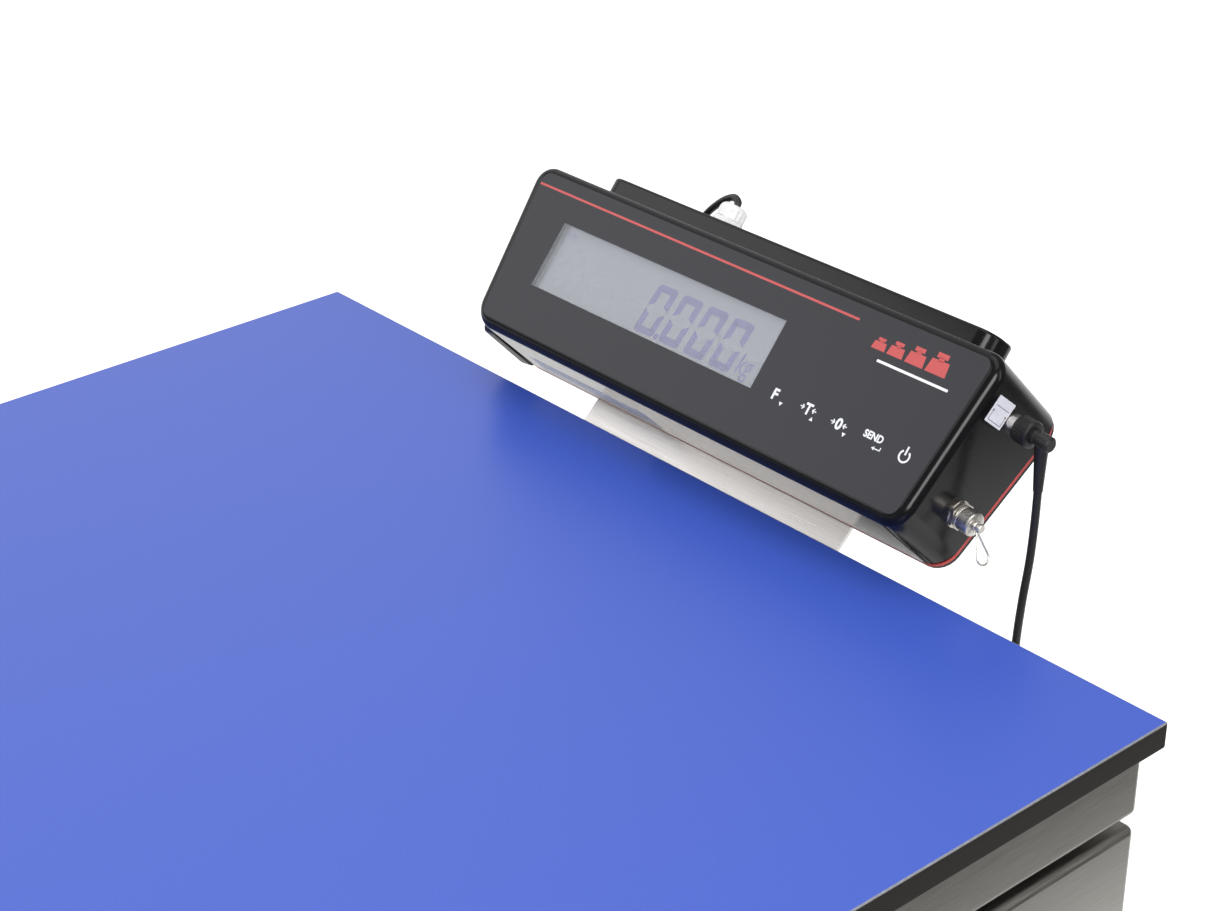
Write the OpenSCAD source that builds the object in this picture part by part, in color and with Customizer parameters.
// Platform scale: laminate-topped deck on one load cell, stainless tube frames,
// four levelling feet and a display terminal on a sheet bracket behind the deck.
// Origin: floor level under the middle of the object. +X right, +Y to the back, +Z up.

/* [Deck] */
// Width of the deck board
deck_w = 600; // [560:10:700]
// Depth of the deck board
deck_d = 500; // [460:10:560]
// Height of the deck's top above the floor
deck_top = 130; // [130:1:150]
// Thickness of the laminate board
board_t = 13; // [10:1:18]

/* [Frames] */
// Inset of both frames from the board's edge
frame_inset = 6; // [3:1:12]
// Height of the upper frame's tubes
upper_h = 35; // [30:1:40]
// Width of the upper frame's tubes
upper_w = 30; // [25:1:40]
// Gap between the upper frame and the base
frame_gap = 6; // [4:1:8]
// Height of the base's tubes
base_h = 54; // [50:1:60]
// Width of the base's tubes
base_w = 40; // [36:1:50]
// Wall of every frame tube
tube_wall = 2; // [1.5:0.5:3]
// Outer corner radius of every tube
tube_r = 4; // [2:0.5:5]
// Free travel of the deck down to its overload stops
stop_gap = 0.7; // [0.6:0.1:1]

/* [Load cell] */
// Length of the load cell, front to back
cell_l = 150; // [130:5:180]
// Width and height of the load cell
cell_s = 40; // [36:1:40]
// Radius of its two cross bores
cell_bore_r = 11; // [8:0.5:13]

/* [Feet] */
// Radius of a foot's disc
foot_r = 20; // [16:1:25]
// Height of a foot's disc
foot_disc_h = 12; // [10:1:14]
// Radius of a foot's threaded stud
stud_r = 5; // [4:0.5:6]

/* [Terminal] */
// Tilt of the terminal's face from the horizontal
face_tilt = 50.2; // [45:0.1:55]
// Half width of the face at its top
half_top = 165; // [150:1:170]
// Half width of the face at its bottom
half_bottom = 154.6; // [140:0.2:160]
// Height of the face, along its slope
face_h = 93; // [85:1:100]
// Depth of the housing at its top
depth_top = 61; // [50:1:65]
// Depth of the housing at its bottom
depth_bottom = 49; // [40:1:50]
// Wall of the housing
shell = 3; // [2:0.5:4]
// Radius of the housing's corners, seen from the front
corner_r = 12; // [9:1:16]
// Radius of the rounding around the face
edge_r = 5; // [3:0.5:7]

/* [Bracket] */
// Width of the sheet bracket
bracket_w = 187; // [150:1:220]
// Thickness of the sheet
sheet_t = 2; // [1.5:0.5:3]

/* [Cords] */
// Diameter of both cords
cord_d = 4; // [3.6:0.1:4.6]
// Radius at the middle of the lead's coiled turns
coil_r = 22; // [20:1:24]

/* [Hidden] */
$fn = 48;

// Fit between parts that slide or turn on each other
running = 0.05;
// Clearance around parts that only pass through
loose = 0.3;

// --- Terminal outline: the local frame has +Y up the face and +Z out of it ---
face_top = 2;
face_bottom = face_top - face_h;
face_behind = 43.6;
face_rise = 107;
side_slope = (half_top - half_bottom) / face_h;
side_slant = atan(side_slope);
back_top = [-5.4, -depth_top];
back_bottom = [-96.1, -depth_bottom];
back_len = norm(back_top - back_bottom);
back_wedge = atan2(back_bottom.y - back_top.y, back_top.x - back_bottom.x);
gasket_t = 1.8;
cover_t = 1.8;
// How far the back cover's top edge stands behind the deck
cover_out = gasket_t + cover_t;
rear_y = back_top.x - cover_out * sin(back_wedge);
rear_z = back_top.y - cover_out * cos(back_wedge);
rear_reach = face_behind + rear_y * cos(face_tilt) - rear_z * sin(face_tilt);

// --- Deck and frame levels ---
back_y = (deck_d - rear_reach) / 2;
mid_y = back_y - deck_d / 2;
board_z = deck_top - board_t;
upper_z = board_z - upper_h;
base_top = upper_z - frame_gap;
base_z = base_top - base_h;
frame_w = deck_w - 2 * frame_inset;
frame_d = deck_d - 2 * frame_inset;
base_back = back_y - frame_inset;
beam_w = 50;
deck_beam_h = 20;
base_beam_h = 25;
spacer_t = 5;
cell_z = base_z + base_beam_h + spacer_t;
deck_beam_z = cell_z + cell_s + spacer_t;
beam_y = 55;
bolt_pitch = 25;
bolt_r = 4;
bolt_head_r = 6.5;
bolt_head_h = 8;
stop_x = 150;
stop_r = 5;
board_screw_xs = [-230, -100, 100, 230];
foot_x = frame_w / 2 - base_w / 2;
foot_y = frame_d / 2 - 60;
foot_spots = [[-1, -1], [1, -1], [-1, 1], [1, 1]];
nut_h = base_z - foot_disc_h;

// --- Terminal details, in the face's frame ---
window_x = [-126.5, 39.5];
window_y = [-61, -24];
foil_t = 0.4;
key_xs = [56, 77, 98, 119, 140];
key_y = -58;
key_r = 8;
ridge_half = 135.5;
ridge_z = [-46, -21.5];
ridge_top = 12.8;
gland_x = -56;
gland_z = -34.5;
charger_at = [-21.4, -28.9];
data_at = [-69.7, -33];
boss_spots = [[-146, 8], [0, 7], [146, 8], [-156.5, 84], [0, 84.5], [156.5, 84]];
bracket_hole_xs = [-60, 60];
bracket_hole_ys = [18, 52];
bracket_rise = 66;

// --- Bracket profile, in the deck's YZ plane ---
// It runs down the back cover, bends to the vertical behind the deck and stops at the base.
plate_tilt = face_tilt - back_wedge;
bend_y = back_y + 8;
bracket_low = base_z + 6;
spacer_zs = [base_z + 14, base_z + 40];
spacer_x = 70;
spacer_l = bend_y - base_back;

// --- Cord routes: points chosen by hand, from the exit to the far end ---
lead_route = [
    [183.1, 253.9, 176], [183.1, 253.6, 160], [183, 252.4, 140], [183, 249.5, 120],
    [183, 247.5, 100], [183, 247, 80], [182.6, 248, 60], [181, 251, 42], [177, 257, 26],
    [169, 266, 13], [158, 276, 5], [145, 284, 2.1], [130, 290, 2], [114, 294, 2], [95, 295.3, 2],
];
coil_at = [95, 267];
coil_size = [17, 13];
cell_route = [
    [-56, 290.9, 233.3], [-56.1, 292.2, 234.8], [-58.3, 293.4, 235.9], [-61.2, 294.4, 235.9],
    [-65, 295, 234.5], [-70, 295.5, 231.6], [-75.5, 295.6, 227.3], [-80.7, 295.5, 222.5],
    [-85, 295.8, 217.4], [-87.3, 298.2, 210.3], [-88, 300.6, 202], [-88, 300.5, 188], [-87, 299, 170],
    [-86, 295, 150], [-85.5, 288, 128], [-87, 278, 107], [-91.5, 265.5, 88],
    [-99, 251.5, 71], [-109, 238.5, 59], [-118, 227.5, 52.5], [-123.5, 219.5, 50.6], [-125, 214.6, 50.5],
];

// --- Helpers ---
function unit(v) = v / norm(v);

// One corner q, between p and s, of an anticlockwise outline, rounded with n steps
function fillet(p, q, s, r, n) =
    let (
        u = unit(p - q),
        v = unit(s - q),
        half = acos(u * v) / 2,
        c = q + unit(u + v) * r / sin(half),
        start = q + u * r / tan(half) - c,
        from = atan2(start.y, start.x)
    )
    [for (i = [0:n]) c + r * [cos(from + (180 - 2 * half) * i / n), sin(from + (180 - 2 * half) * i / n)]];

function rounded(pts, r, n = 6) =
    [for (i = [0:len(pts) - 1])
        each fillet(pts[(i + len(pts) - 1) % len(pts)], pts[i], pts[(i + 1) % len(pts)], r, n)];

function box_outline(w, h, r) =
    rounded([[-w / 2, -h / 2], [w / 2, -h / 2], [w / 2, h / 2], [-w / 2, h / 2]], r);

// The face's outline, drawn in by an inset
function face_outline(inset, r) = rounded([
    [-(half_bottom - inset), face_bottom + inset],
    [half_bottom - inset, face_bottom + inset],
    [half_top - inset, face_top - inset],
    [-(half_top - inset), face_top - inset],
], r);

// The housing's back edge, in the back plane's own frame
function back_outline(inset, r) = rounded([
    [-(half_at(back_bottom.x) - inset), inset],
    [half_at(back_bottom.x) - inset, inset],
    [half_at(back_top.x) - inset, back_len - inset],
    [-(half_at(back_top.x) - inset), back_len - inset],
], r);

// Half width of the housing at a height up the face; the end walls are flat
function half_at(y) = half_top + (y - face_top) * side_slope;

function flat_ring(pts, z) = [for (p = pts) [p.x, p.y, z]];

function back_ring(pts, out) = [for (p = pts) [
    p.x,
    back_bottom.x + p.y * cos(back_wedge) - out * sin(back_wedge),
    back_bottom.y - p.y * sin(back_wedge) - out * cos(back_wedge),
]];

// A closed solid through rings of equal length, the first one facing out
module loft(rings) {
    n = len(rings[0]);
    m = len(rings);
    faces = concat(
        [[for (j = [n - 1:-1:0]) j]],
        [for (i = [0:m - 2], j = [0:n - 1]) [i * n + j, i * n + (j + 1) % n, (i + 1) * n + (j + 1) % n]],
        [for (i = [0:m - 2], j = [0:n - 1]) [i * n + j, (i + 1) * n + (j + 1) % n, (i + 1) * n + j]],
        [[for (j = [0:n - 1]) (m - 1) * n + j]]
    );
    polyhedron(points = [for (r = rings) each r], faces = faces, convexity = 8);
}

// A round tube swept along a route; each ring is square to the route there
function ring_at(route, i, r, sides) =
    let (
        a = route[max(i - 1, 0)],
        b = route[min(i + 1, len(route) - 1)],
        t = unit(b - a),
        side = unit(cross(t, abs(t.x) < 0.9 ? [1, 0, 0] : [0, 1, 0])),
        up = cross(side, t)
    )
    [for (k = [0:sides - 1]) route[i] + r * (side * cos(360 * k / sides) + up * sin(360 * k / sides))];

module sweep(route, d) {
    loft([for (i = [len(route) - 1:-1:0]) ring_at(route, i, d / 2, 8)]);
}

// Catmull-Rom points between a route's points
function between(a, b, c, d, t) =
    0.5 * (2 * b + (c - a) * t + (2 * a - 5 * b + 4 * c - d) * t * t + (3 * b - 3 * c + d - a) * t * t * t);

function smooth(route, steps) = concat(
    [for (i = [0:len(route) - 2], s = [0:steps - 1])
        between(route[max(i - 1, 0)], route[i], route[i + 1], route[min(i + 2, len(route) - 1)], s / steps)],
    [route[len(route) - 1]]
);

module in_terminal() {
    translate([0, back_y + face_behind, deck_top + face_rise]) rotate([face_tilt, 0, 0]) children();
}

// The back plane: +Y up along it, +Z towards the face
module in_back() {
    in_terminal() translate([0, back_bottom.x, back_bottom.y]) rotate([-back_wedge, 0, 0]) children();
}

// The right end: +X to the back, +Y up, +Z outwards, at [height, depth] in the face's frame
module on_side(at) {
    translate([half_at(at.x), at.x, at.y])
        rotate([0, 0, -side_slant]) rotate([0, 90, 0]) children();
}

module hex(af, h) {
    cylinder(r = af / 2 / cos(30), h = h, $fn = 6);
}

module slab(outline, z, t) {
    translate([0, 0, z]) linear_extrude(t) polygon(outline);
}

module at_four(x, y) {
    for (s = foot_spots) translate([s.x * x, s.y * y, 0]) children();
}

// A pair of closed square tubes along Y, with a vent hole under each end
module side_tubes(w, h, z) {
    for (s = [-1, 1]) translate([s * (frame_w / 2 - w / 2), mid_y, z + h / 2]) difference() {
        rotate([90, 0, 0]) linear_extrude(frame_d, center = true) polygon(box_outline(w, h, tube_r));
        cube([w - 2 * tube_wall, frame_d - 2 * tube_wall, h - 2 * tube_wall], center = true);
        for (e = [-1, 1]) translate([0, e * (frame_d / 2 - 20), -h / 2 - 1]) cylinder(r = 3, h = tube_wall + 2);
    }
}

// A pair of open tubes along X between the side tubes
module cross_tubes(w, h, z, inner_w, ys) {
    for (y = ys) translate([0, y, z + h / 2]) difference() {
        rotate([90, 0, 90]) linear_extrude(inner_w, center = true) polygon(box_outline(w, h, tube_r));
        cube([inner_w + 1, w - 2 * tube_wall, h - 2 * tube_wall], center = true);
    }
}

module cap_screw(r, l, head_r, head_h) {
    translate([0, 0, -l]) cylinder(r = r, h = l + 0.01);
    difference() {
        cylinder(r = head_r, h = head_h);
        translate([0, 0, head_h / 2]) hex(head_r, head_h);
    }
}

// --- Deck: the part that carries the load ---
module deck_board() {
    color("royalblue") difference() {
        translate([-deck_w / 2, back_y - deck_d, board_z]) cube([deck_w, deck_d, board_t]);
        for (x = board_screw_xs, y = [-beam_y, beam_y])
            translate([x, mid_y + y, board_z - 1]) cylinder(r = 2.5 + running, h = 10);
    }
}

module board_screws() {
    color("silver") for (x = board_screw_xs, y = [-beam_y, beam_y])
        translate([x, mid_y + y, deck_beam_z]) mirror([0, 0, 1]) cap_screw(2.5, 28, 5, 3);
}

module upper_side_tubes() {
    color("silver") side_tubes(upper_w, upper_h, upper_z);
}

module upper_end_tubes() {
    color("silver") cross_tubes(upper_w, upper_h, upper_z, frame_w - 2 * upper_w,
        [mid_y - frame_d / 2 + upper_w / 2, mid_y + frame_d / 2 - upper_w / 2]);
}

module deck_crossbeams() {
    color("gainsboro") difference() {
        cross_tubes(beam_w, deck_beam_h, deck_beam_z, frame_w - 2 * upper_w, [mid_y - beam_y, mid_y + beam_y]);
        for (y = [-1, 1]) translate([0, mid_y - beam_y + y * bolt_pitch / 2, deck_beam_z - 1]) {
            cylinder(r = bolt_r + running, h = 10);
            translate([0, 0, tube_wall + 5]) cylinder(r = bolt_head_r + 1.5, h = deck_beam_h);
        }
        for (x = board_screw_xs, y = [-beam_y, beam_y])
            translate([x, mid_y + y, deck_beam_z - 1]) cylinder(r = 2.5 + running, h = deck_beam_h + 2);
    }
}

module load_spacer() {
    color("silver") translate([0, mid_y - beam_y, cell_z + cell_s]) difference() {
        translate([-cell_s / 2, -beam_w / 2, 0]) cube([cell_s, beam_w - 10, spacer_t]);
        for (y = [-1, 1]) translate([0, y * bolt_pitch / 2, -1]) cylinder(r = bolt_r + running, h = spacer_t + 2);
    }
}

module load_bolts() {
    color("dimgray") for (y = [-1, 1])
        translate([0, mid_y - beam_y + y * bolt_pitch / 2, deck_beam_z + tube_wall])
            cap_screw(bolt_r, tube_wall + spacer_t + 14, bolt_head_r, bolt_head_h);
}

// --- Base ---
module base_side_tubes() {
    color("silver") difference() {
        side_tubes(base_w, base_h, base_z);
        translate([0, mid_y, base_z - 1]) at_four(foot_x, foot_y) cylinder(r = 9, h = tube_wall + 2);
    }
}

module base_end_tubes() {
    color("silver") difference() {
        cross_tubes(base_w, base_h, base_z, frame_w - 2 * base_w,
            [mid_y - frame_d / 2 + base_w / 2, mid_y + frame_d / 2 - base_w / 2]);
        translate([-125, base_back + 1, 50.5]) rotate([90, 0, 0]) cylinder(r = 6 + running, h = tube_wall + 2);
        for (x = [-spacer_x, spacer_x], z = spacer_zs)
            translate([x, base_back + 1, z]) rotate([90, 0, 0]) cylinder(r = 3 + running, h = tube_wall + 2);
    }
}

module base_crossbeams() {
    color("gainsboro") difference() {
        cross_tubes(beam_w, base_beam_h, base_z, frame_w - 2 * base_w, [mid_y - beam_y, mid_y + beam_y]);
        for (y = [-1, 1]) translate([0, mid_y + beam_y + y * bolt_pitch / 2, base_z - 1]) {
            cylinder(r = bolt_head_r + 1.5, h = base_beam_h - 5);
            cylinder(r = bolt_r + running, h = base_beam_h + 2);
        }
        for (x = [-stop_x, stop_x], y = [-beam_y, beam_y])
            translate([x, mid_y + y, base_z + base_beam_h - tube_wall - 1])
                cylinder(r = stop_r + running, h = tube_wall + 2);
    }
}

module cell_seat() {
    color("silver") translate([0, mid_y + beam_y, cell_z - spacer_t]) difference() {
        translate([-cell_s / 2, -beam_w / 2 + 10, 0]) cube([cell_s, beam_w - 10, spacer_t]);
        for (y = [-1, 1]) translate([0, y * bolt_pitch / 2, -1]) cylinder(r = bolt_r + running, h = spacer_t + 2);
    }
}

module load_cell() {
    color("lightsteelblue") translate([0, mid_y, cell_z]) difference() {
        translate([-cell_s / 2, -cell_l / 2, 0]) cube([cell_s, cell_l, cell_s]);
        for (y = [-15, 15]) translate([0, y, cell_s / 2]) rotate([0, 90, 0])
            cylinder(r = cell_bore_r, h = cell_s + 2, center = true);
        translate([0, 0, cell_s / 2]) cube([cell_s + 2, 30, 8], center = true);
        for (y = [-1, 1]) {
            translate([0, -beam_y + y * bolt_pitch / 2, cell_s - 16]) cylinder(r = bolt_r + running, h = 20);
            translate([0, beam_y + y * bolt_pitch / 2, -4]) cylinder(r = bolt_r + running, h = 20);
        }
    }
}

module fixed_bolts() {
    color("dimgray") for (y = [-1, 1])
        translate([0, mid_y + beam_y + y * bolt_pitch / 2, base_z + base_beam_h - tube_wall])
            mirror([0, 0, 1]) cap_screw(bolt_r, tube_wall + spacer_t + 14, bolt_head_r, bolt_head_h);
}

// Each overload stop is a screw with its lock nut above and below the beam's wall
module stop_screws() {
    wall_top = base_z + base_beam_h;
    color("dimgray") for (x = [-stop_x, stop_x], y = [-beam_y, beam_y]) translate([x, mid_y + y, 0]) {
        translate([0, 0, base_z + 8]) cylinder(r = stop_r, h = deck_beam_z - stop_gap - base_z - 8);
        translate([0, 0, wall_top]) hex(16, 6);
        translate([0, 0, wall_top - tube_wall - 6]) hex(16, 6);
    }
}

module foot_bushes() {
    color("silver") translate([0, mid_y, base_z]) at_four(foot_x, foot_y) difference() {
        cylinder(r = 9, h = 30);
        translate([0, 0, -1]) cylinder(r = stud_r + running, h = 32);
    }
}

module foot_lock_nuts() {
    color("silver") translate([0, mid_y, foot_disc_h]) at_four(foot_x, foot_y) difference() {
        hex(17, nut_h);
        translate([0, 0, -1]) cylinder(r = stud_r + running, h = nut_h + 2);
    }
}

module foot(s) {
    color("black") translate([s.x * foot_x, mid_y + s.y * foot_y, 0]) {
        rotate_extrude() polygon([
            [0, 0], [foot_r - 2, 0], [foot_r, 2], [foot_r, 6], [foot_r - 6, foot_disc_h],
            [stud_r, foot_disc_h], [stud_r, base_z + 26], [stud_r - 1, base_z + 27], [0, base_z + 27],
        ]);
    }
}

module foot_front_left() { foot([-1, -1]); }
module foot_front_right() { foot([1, -1]); }
module foot_back_left() { foot([-1, 1]); }
module foot_back_right() { foot([1, 1]); }

// The gland where the load cell's cable enters the base: body, dome nut, one bore
module base_gland() {
    color("white") translate([-125, base_back, 50.5]) rotate([-90, 0, 0]) {
        difference() {
            union() {
                translate([0, 0, -10]) cylinder(r = 6, h = 12);
                hex(15, 5);
            }
            translate([0, 0, -11]) cylinder(r = cord_d / 2 - 0.1, h = 20);
        }
        difference() {
            translate([0, 0, 5.1]) cylinder(r = 7.8, h = 10);
            translate([0, 0, 5]) cylinder(r = cord_d / 2 - 0.1, h = 12);
        }
    }
}

// A bull's-eye level on the base's back tube, seen from above behind the deck
module spirit_level() {
    color("yellowgreen") translate([-200, base_back, base_top - 12]) {
        difference() {
            translate([-11, 0, 0]) cube([22, 24, 10]);
            translate([0, 13, 4]) cylinder(r = 8, h = 10);
        }
        translate([0, 13, 4]) cylinder(r = 7.9, h = 4.5);
    }
}

// --- Bracket ---
module bracket_profile() {
    t = sheet_t;
    low = [bend_y, bracket_low];
    corner = [bend_y, bracket_corner_z];
    dir = [cos(plate_tilt), sin(plate_tilt)];
    tip = corner + dir * (bracket_rise + bracket_run);
    out = [sin(plate_tilt), -cos(plate_tilt)];
    miter = t * tan((90 - plate_tilt) / 2);
    polygon([low, [low.x + t, low.y], [corner.x + t, corner.y - miter], tip + out * t, tip, corner]);
}

// Where the line of the back cover's outer face meets the bracket's vertical leg
cover_foot_y = back_y + face_behind + back_bottom.x * cos(face_tilt) - back_bottom.y * sin(face_tilt)
    + cover_out * sin(plate_tilt);
cover_foot_z = deck_top + face_rise + back_bottom.x * sin(face_tilt) + back_bottom.y * cos(face_tilt)
    - cover_out * cos(plate_tilt);
bracket_run = (cover_foot_y - bend_y) / cos(plate_tilt);
bracket_corner_z = cover_foot_z - bracket_run * sin(plate_tilt);

module bracket() {
    color("silver") difference() {
        translate([-bracket_w / 2, 0, 0]) rotate([90, 0, 90]) linear_extrude(bracket_w) bracket_profile();
        in_back() for (x = bracket_hole_xs, y = bracket_hole_ys)
            translate([x, y, -cover_out - sheet_t - 1]) cylinder(r = 2 + running, h = sheet_t + 2);
        for (x = [-spacer_x, spacer_x], z = spacer_zs)
            translate([x, bend_y - 1, z]) rotate([-90, 0, 0]) cylinder(r = 3 + running, h = sheet_t + 2);
    }
}

module bracket_spacers() {
    color("silver") for (x = [-spacer_x, spacer_x], z = spacer_zs)
        translate([x, base_back, z]) rotate([-90, 0, 0]) difference() {
            cylinder(r = 7, h = spacer_l);
            translate([0, 0, -1]) cylinder(r = 3 + running, h = spacer_l + 2);
        }
}

module bracket_screws() {
    color("dimgray") for (x = [-spacer_x, spacer_x], z = spacer_zs)
        translate([x, bend_y + sheet_t, z]) rotate([-90, 0, 0])
            cap_screw(3, sheet_t + spacer_l + tube_wall + 6, 5, 5);
}

module terminal_screws() {
    color("dimgray") in_back() for (x = bracket_hole_xs, y = bracket_hole_ys)
        translate([x, y, -cover_out - sheet_t]) mirror([0, 0, 1]) cap_screw(2, sheet_t + cover_t + 3, 3.5, 3);
}

// --- Terminal ---
module housing_skin() {
    loft(concat(
        [for (a = [0:18:90]) flat_ring(
            face_outline(edge_r * (1 - sin(a)), corner_r - edge_r * (1 - sin(a))), -edge_r * (1 - cos(a)))],
        [back_ring(back_outline(0, corner_r), 0)]
    ));
}

module housing_cavity() {
    loft([
        flat_ring(face_outline(shell, corner_r - shell), -shell),
        back_ring(back_outline(shell, corner_r - shell), 1),
    ]);
}

// The raised ridge along the top, drawn in the face's XZ plane and pushed up
module ridge(inset, low, high) {
    w = 2 * (ridge_half - inset);
    d = ridge_z[1] - ridge_z[0] - 2 * inset;
    translate([0, low, (ridge_z[0] + ridge_z[1]) / 2]) rotate([-90, 0, 0])
        linear_extrude(high - low) polygon(box_outline(w, d, 10 - inset));
}

module housing() {
    color("black") in_terminal() {
        difference() {
            union() {
                housing_skin();
                ridge(0, -6, ridge_top);
            }
            housing_cavity();
            ridge(shell, -20, ridge_top - shell);
            slab(foil_outline(loose / 2), -foil_t, 1);
            translate([window_x[0], window_y[0], -shell - 1])
                cube([window_x[1] - window_x[0], window_y[1] - window_y[0], shell + 2]);
            for (x = key_xs) translate([x, key_y, 0]) {
                translate([0, 0, -1.6]) cylinder(r = key_r + loose, h = 2);
                translate([0, 0, -shell - 1]) cylinder(r = 3 + loose, h = 4);
            }
            on_side(charger_at) translate([0, 0, -5]) cylinder(r = 5 + running, h = 8);
            on_side(data_at) translate([0, 0, -5]) cylinder(r = 4.75 + running, h = 8);
            translate([gland_x, ridge_top - shell - 1, gland_z]) rotate([-90, 0, 0])
                cylinder(r = 6 + running, h = shell + 2);
        }
    }
    color("black") in_back() for (p = boss_spots) translate([p.x, p.y, 0]) difference() {
        cylinder(r = 5, h = 22);
        translate([0, 0, -1]) cylinder(r = 1.5 + running, h = 14);
    }
}

// The membrane stops short of the face's rounded edge
function foil_outline(grow) = rounded([
    [-149.5 - grow, -86 - grow], [149.5 + grow, -86 - grow],
    [158 + grow, -2.4 + grow], [-158 - grow, -2.4 + grow],
], 5);

module foil() {
    color([0.25, 0.25, 0.27]) in_terminal() difference() {
        slab(foil_outline(0), -foil_t, foil_t);
        translate([window_x[0], window_y[0], -1]) cube([window_x[1] - window_x[0], window_y[1] - window_y[0], 2]);
        for (x = key_xs) translate([x, key_y, -1]) cylinder(r = key_r + 0.1, h = 2);
    }
}

module window_plate(inset, z, t) {
    translate([window_x[0] + inset, window_y[0] + inset, z])
        cube([window_x[1] - window_x[0] - 2 * inset, window_y[1] - window_y[0] - 2 * inset, t]);
}

module display_window() {
    color([0.8, 0.85, 0.9, 0.4]) in_terminal() window_plate(0, -foil_t, foil_t);
}

module lcd_glass() {
    color([0.64, 0.66, 0.69]) in_terminal() window_plate(-3, -shell - 2.4, 2.2);
}

module lcd_frame() {
    color("whitesmoke") in_terminal() window_plate(-6, -shell - 9, 6.4);
}

module main_board() {
    color("darkgreen") in_terminal() translate([-134, -80, -shell - 11]) cube([286, 72, 1.6]);
}

module battery_pack() {
    color("steelblue") in_back() translate([-150, 22, -gasket_t]) cube([82, 48, 18]);
}

module battery_strap() {
    color("dimgray") in_back() translate([-116, 18, -gasket_t]) difference() {
        cube([14, 56, 20]);
        translate([-1, 3.5, -1]) cube([16, 49, 19.5]);
    }
}

module gasket() {
    color("crimson") in_back() translate([0, 0, -gasket_t]) linear_extrude(gasket_t) difference() {
        polygon(back_outline(0, corner_r));
        polygon(back_outline(2.4, corner_r - 2.4));
    }
}

module back_cover() {
    color("black") in_back() difference() {
        slab(back_outline(0, corner_r), -cover_out, cover_t);
        for (p = boss_spots) translate([p.x, p.y, -cover_out - 1]) {
            cylinder(r = 1.5 + running, h = cover_t + 2);
            cylinder(r = 3.1, h = 2.4);
        }
        for (x = bracket_hole_xs, y = bracket_hole_ys)
            translate([x, y, -cover_out - 1]) cylinder(r = 2 + running, h = cover_t + 2);
    }
}

module cover_screws() {
    color("silver") in_back() for (p = boss_spots)
        translate([p.x, p.y, -cover_out + 1.4]) mirror([0, 0, 1]) cap_screw(1.5, 14, 3, 1.4);
}

// A key is a patch of the membrane on a plunger that reaches the board's contact
module key(x) {
    color([0.3, 0.3, 0.32]) in_terminal() translate([x, key_y, 0]) {
        translate([0, 0, -0.8]) cylinder(r = key_r, h = 0.8);
        translate([0, 0, -11.7]) cylinder(r = 3, h = 11.2);
    }
}

module key_function() { key(key_xs[0]); }
module key_tare() { key(key_xs[1]); }
module key_zero() { key(key_xs[2]); }
module key_send() { key(key_xs[3]); }
module key_power() { key(key_xs[4]); }

// --- Right end of the terminal ---
module charger_socket() {
    color("silver") in_terminal() on_side(charger_at) difference() {
        union() {
            translate([0, 0, -12]) cylinder(r = 5, h = 18);
            translate([0, 0, -6.3]) hex(14, 3);
        }
        translate([0, 0, 2]) cylinder(r = 3.2, h = 6);
    }
}

module charger_plug() {
    color([0.1, 0.1, 0.1]) {
        in_terminal() on_side(charger_at) rotate_extrude() polygon([
            [0, 2.3], [3, 2.3], [3, 6.2], [4.8, 6.2], [4.8, 8.8], [4, 8.8], [4, 16],
            [3.2, 16.6], [3.2, 17.8], [4, 18.4], [4, 24], [3, 25], [0, 25],
        ]);
        translate([183.1, 253.9, 176]) cylinder(r1 = 2.3, r2 = 3.4, h = 24);
    }
}

module charger_ring() {
    color([0.12, 0.11, 0.11]) in_terminal() on_side(charger_at) rotate_extrude() polygon([
        [5 + running, 5.2], [6.4, 5.2], [6.7, 5.6], [6.7, 13.6], [6.2, 14.2], [4 + running, 14.2],
        [4 + running, 9], [5 + running, 9],
    ]);
}

module data_socket() {
    color("silver") in_terminal() on_side(data_at) difference() {
        union() {
            translate([0, 0, -12]) cylinder(r = 4.75, h = 22);
            translate([0, 0, -6.3]) hex(14, 3);
        }
        translate([0, 0, 4]) cylinder(r = 3.4, h = 8);
    }
}

module data_nut() {
    color("silver") in_terminal() on_side(data_at) difference() {
        union() {
            hex(13, 3);
            cylinder(r = 7, h = 0.8);
        }
        translate([0, 0, -1]) cylinder(r = 4.75 + running, h = 5);
    }
}

module dust_cap() {
    color("gainsboro") in_terminal() on_side(data_at) rotate_extrude() polygon([
        [4.75 + running, 3.4], [5.8, 3.4], [6, 3.8], [6, 11.2], [5.6, 11.8], [1.6, 11.8],
        [1.6, 14.4], [2.4, 14.6], [2.4, 15.8], [1.9, 16.2], [0, 16.2], [0, 10.4], [4.75 + running, 10.4],
    ]);
}

// The lanyard: an eye around the cap's neck and a long loop that hangs from it
wire_r = 0.5;
eye_r = 2.3;
loop_r = 3.6;
loop_l = 13;
loop_lean = 28;

module wire_loop() {
    color("silver") in_terminal() on_side(data_at) translate([0, 0, 13.1]) {
        rotate_extrude() translate([eye_r, 0]) circle(r = wire_r);
        rotate([0, 0, -face_tilt]) translate([eye_r - wire_r / 2, 0, 0]) rotate([0, -loop_lean, 0]) {
            for (s = [-1, 1]) rotate([0, 90, s * atan2(loop_r, loop_l)])
                cylinder(r = wire_r, h = norm([loop_l, loop_r]));
            translate([loop_l, 0, 0]) rotate([0, 0, -90])
                rotate_extrude(angle = 180) translate([loop_r, 0]) circle(r = wire_r);
        }
    }
}

module side_label() {
    color("white") in_terminal() on_side([-21, -16.4]) translate([-7.2, -6.8, 0]) cube([14.4, 13.6, 0.25]);
}

module type_label() {
    under = atan2(face_bottom - back_bottom.x, depth_bottom - edge_r);
    color("white") in_terminal() translate([-131, face_bottom, -edge_r]) rotate([90 - under, 0, 0])
        translate([0, -42, 0]) cube([94, 34, 0.25]);
}

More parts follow.
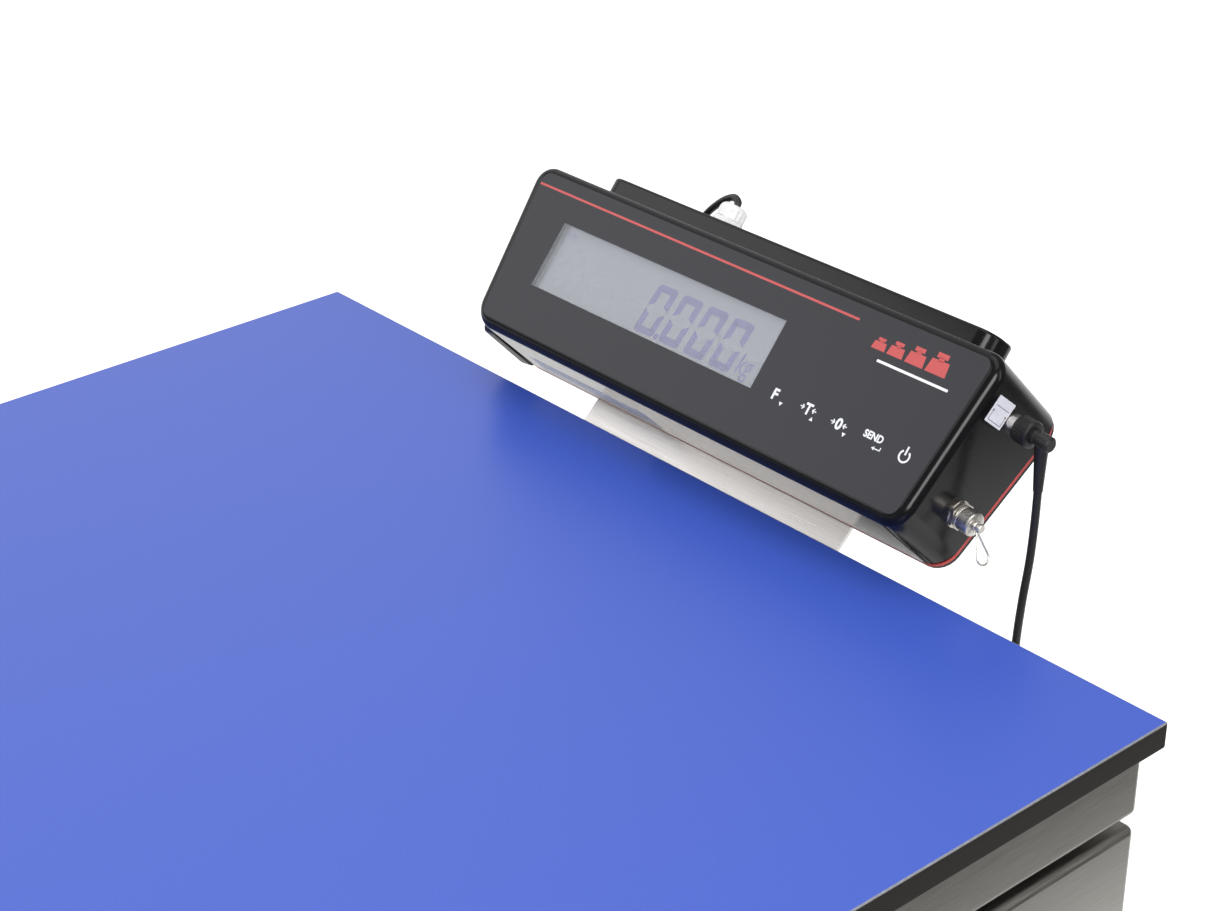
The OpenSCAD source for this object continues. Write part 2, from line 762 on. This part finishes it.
module gland_body() {
    color("white") in_terminal() translate([gland_x, ridge_top, gland_z]) rotate([-90, 0, 0]) difference() {
        union() {
            translate([0, 0, -8]) cylinder(r = 6, h = 9);
            hex(15, 3.2);
            translate([0, 0, -shell - 3.2]) hex(17, 3);
        }
        translate([0, 0, -9]) cylinder(r = cord_d / 2 - 0.1, h = 20);
    }
}

module gland_nut() {
    color("white") in_terminal() translate([gland_x, ridge_top, gland_z]) rotate([-90, 0, 0])
        rotate_extrude() polygon([
            [cord_d / 2 - 0.1, 3.3], [7.8, 3.3], [7.8, 8.6], [7.2, 10.2], [5.8, 11.2], [cord_d / 2 - 0.1, 11.2],
        ]);
}

// A blanking plate over the left end's unused opening
plate_t = 7.5;

module end_plate() {
    color([0.08, 0.08, 0.08]) in_terminal() mirror([1, 0, 0]) on_side([-72, -42]) rotate([0, 0, -7.3])
        slab(box_outline(42, 46, 4), running, plate_t);
}

// --- Cords ---
module cell_cable() {
    color([0.1, 0.1, 0.1]) sweep(smooth(cell_route, 2), cord_d);
}

module charger_lead() {
    color([0.1, 0.1, 0.1]) sweep(smooth(lead_route, 2), cord_d);
}

module charger_coil() {
    color([0.1, 0.1, 0.1]) translate([coil_at.x, coil_at.y, 0]) rotate_extrude()
        translate([coil_r - coil_size.x / 2, 0]) square(coil_size);
}

module cord_tie() {
    color("dimgray") translate([coil_at.x - coil_r, coil_at.y, 0]) difference() {
        translate([-10.5, -4, 0]) cube([21, 8, 15]);
        translate([-9.2, -5, -1]) cube([18.4, 10, 14.6]);
    }
}

module power_supply() {
    color([0.12, 0.12, 0.12]) translate([20, 274, 0]) {
        linear_extrude(30) polygon(box_outline(62, 44, 5));
        translate([30, 16, 8]) rotate([0, 90, 0]) cylinder(r1 = 4.5, r2 = 3, h = 26);
    }
}

module supply_pins() {
    color("silver") for (y = [-9.5, 9.5])
        translate([-11, 274 + y, 16]) rotate([0, -90, 0]) cylinder(r = 2, h = 19);
}

deck_board();
board_screws();
upper_side_tubes();
upper_end_tubes();
deck_crossbeams();
load_spacer();
load_bolts();
base_side_tubes();
base_end_tubes();
base_crossbeams();
cell_seat();
load_cell();
fixed_bolts();
stop_screws();
foot_bushes();
foot_lock_nuts();
base_gland();
spirit_level();
foot_front_left();
foot_front_right();
foot_back_left();
foot_back_right();
bracket();
bracket_spacers();
bracket_screws();
terminal_screws();
housing();
foil();
display_window();
lcd_glass();
lcd_frame();
main_board();
battery_pack();
battery_strap();
gasket();
back_cover();
cover_screws();
key_function();
key_tare();
key_zero();
key_send();
key_power();
charger_socket();
charger_plug();
charger_ring();
data_socket();
data_nut();
dust_cap();
wire_loop();
side_label();
type_label();
gland_body();
gland_nut();
end_plate();
cell_cable();
charger_lead();
charger_coil();
cord_tie();
power_supply();
supply_pins();
